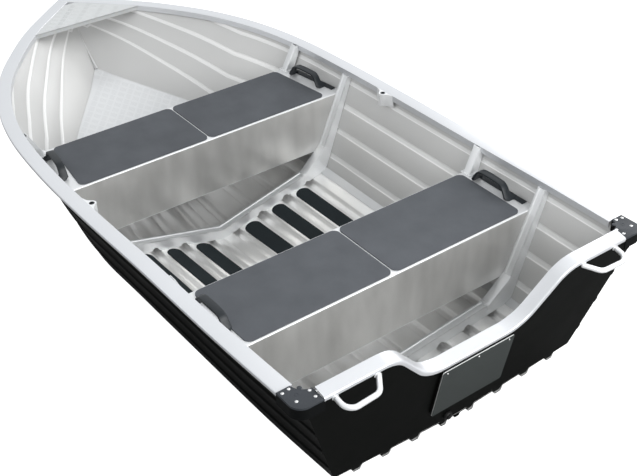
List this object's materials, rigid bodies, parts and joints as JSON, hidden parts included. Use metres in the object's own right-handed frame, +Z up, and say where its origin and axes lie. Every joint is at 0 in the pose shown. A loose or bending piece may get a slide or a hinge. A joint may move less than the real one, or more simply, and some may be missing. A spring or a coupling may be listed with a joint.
{
  "type": "aluminium rowing boat",
  "caption": "Small open aluminium rowing boat with ribbed plates, box seats with grip pads, rowlock sockets, a low transom for an outboard motor and a capped gunwale rail.",
  "frame": {"origin": "centre of the bounding box in plan, at the floor the boat stands on", "axes": "+X to the bow, +Y to port, +Z up; the boat stands on its innermost bottom ribs and keel"},
  "size_m": [3.0284, 1.494, 0.7482],
  "materials": {
    "bare_hull": "satin rolled sheet",
    "painted_hull": "gloss black paint outside",
    "bright_sheet": "satin",
    "painted_trim": "gloss",
    "painted_transom": "gloss black paint outside",
    "rail": "satin anodised",
    "corner_plastic": "fine grained",
    "tread_plate": "raised tread pattern",
    "bow_tread": "fine raised tread pattern",
    "frame_sheet": "satin",
    "brushed_sheet": "brushed",
    "grip_pad": "fine pebbled foam sheet",
    "floor_pad": "fine pebbled foam sheet",
    "black_handle": "semi gloss",
    "socket_metal": "cast satin",
    "motor_pad": "smooth, light edge",
    "cast_handle": "polished cast",
    "plug_rubber": "satin"
  },
  "bodies": {
    "root": {"hull_bottom_port": "bare_hull", "hull_bottom_starboard": "bare_hull", "hull_side_port": "painted_hull", "hull_side_starboard": "painted_hull", "chine_strips": "bright_sheet", "bow_floor": "bow_tread", "keel_bar": "painted_trim", "stem_bar": "painted_trim", "transom_plate": "painted_transom", "transom_cap": "rail", "gunwale_port": "rail", "gunwale_starboard": "rail", "corner_casting_port": "corner_plastic", "corner_casting_starboard": "corner_plastic", "breasthook": "tread_plate", "forward_frame": "frame_sheet", "aft_frame": "frame_sheet", "seat_uprights": "frame_sheet", "forward_seat": "brushed_sheet", "aft_seat": "brushed_sheet", "forward_seat_pads": "grip_pad", "aft_seat_pads": "grip_pad", "floor_pads_port": "floor_pad", "floor_pads_starboard": "floor_pad", "grab_handles": "black_handle", "rowlock_socket_port": "socket_metal", "rowlock_socket_starboard": "socket_metal", "motor_plate": "motor_pad", "transom_handles": "cast_handle", "drain_plug": "plug_rubber"}
  },
  "joints": []
}
